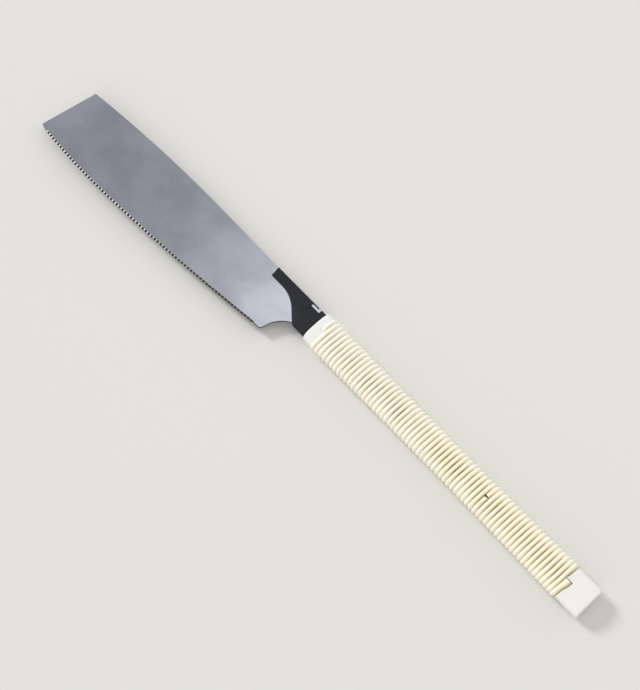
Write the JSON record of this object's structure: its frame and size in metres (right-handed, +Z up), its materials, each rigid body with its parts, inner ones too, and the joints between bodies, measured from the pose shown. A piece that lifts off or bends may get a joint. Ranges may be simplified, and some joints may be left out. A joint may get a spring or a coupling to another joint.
{
  "type": "kataba pull saw",
  "caption": "Single-edged Japanese pull saw with a hook-in replaceable blade, a folded black steel blade holder and a straight oval handle wound with cord",
  "frame": {"origin": "on the table, under the middle of the whole saw as it lies on its side", "axes": "+X from the butt toward the toe of the blade, +Y from the spine toward the teeth, +Z up, square to the blade"},
  "size_m": [0.601, 0.0666, 0.019],
  "materials": {
    "blade_steel": "satin rolled steel",
    "holder_paint": "black satin",
    "pin_steel": "plain",
    "white_plastic": "satin",
    "core_plastic": "as moulded, hidden under the binding",
    "cord_vinyl": "satin"
  },
  "bodies": {
    "handle": {"blade_holder": "holder_paint", "hook_pin": "holder_paint", "tongue_pin_front": "pin_steel", "tongue_pin_rear": "pin_steel", "front_collar": "white_plastic", "handle_core": "core_plastic", "butt_cap": "white_plastic", "front_binding": "cord_vinyl", "rear_binding": "cord_vinyl"},
    "blade": {"saw_blade": "blade_steel"}
  },
  "joints": [
    {"name": "blade_swing", "type": "hinge", "parent": "handle", "child": "blade", "pos_m": [0.0095, -0.02457, 0.0094], "axis": [0, 0, 1], "range_deg": [0, 30]}
  ]
}
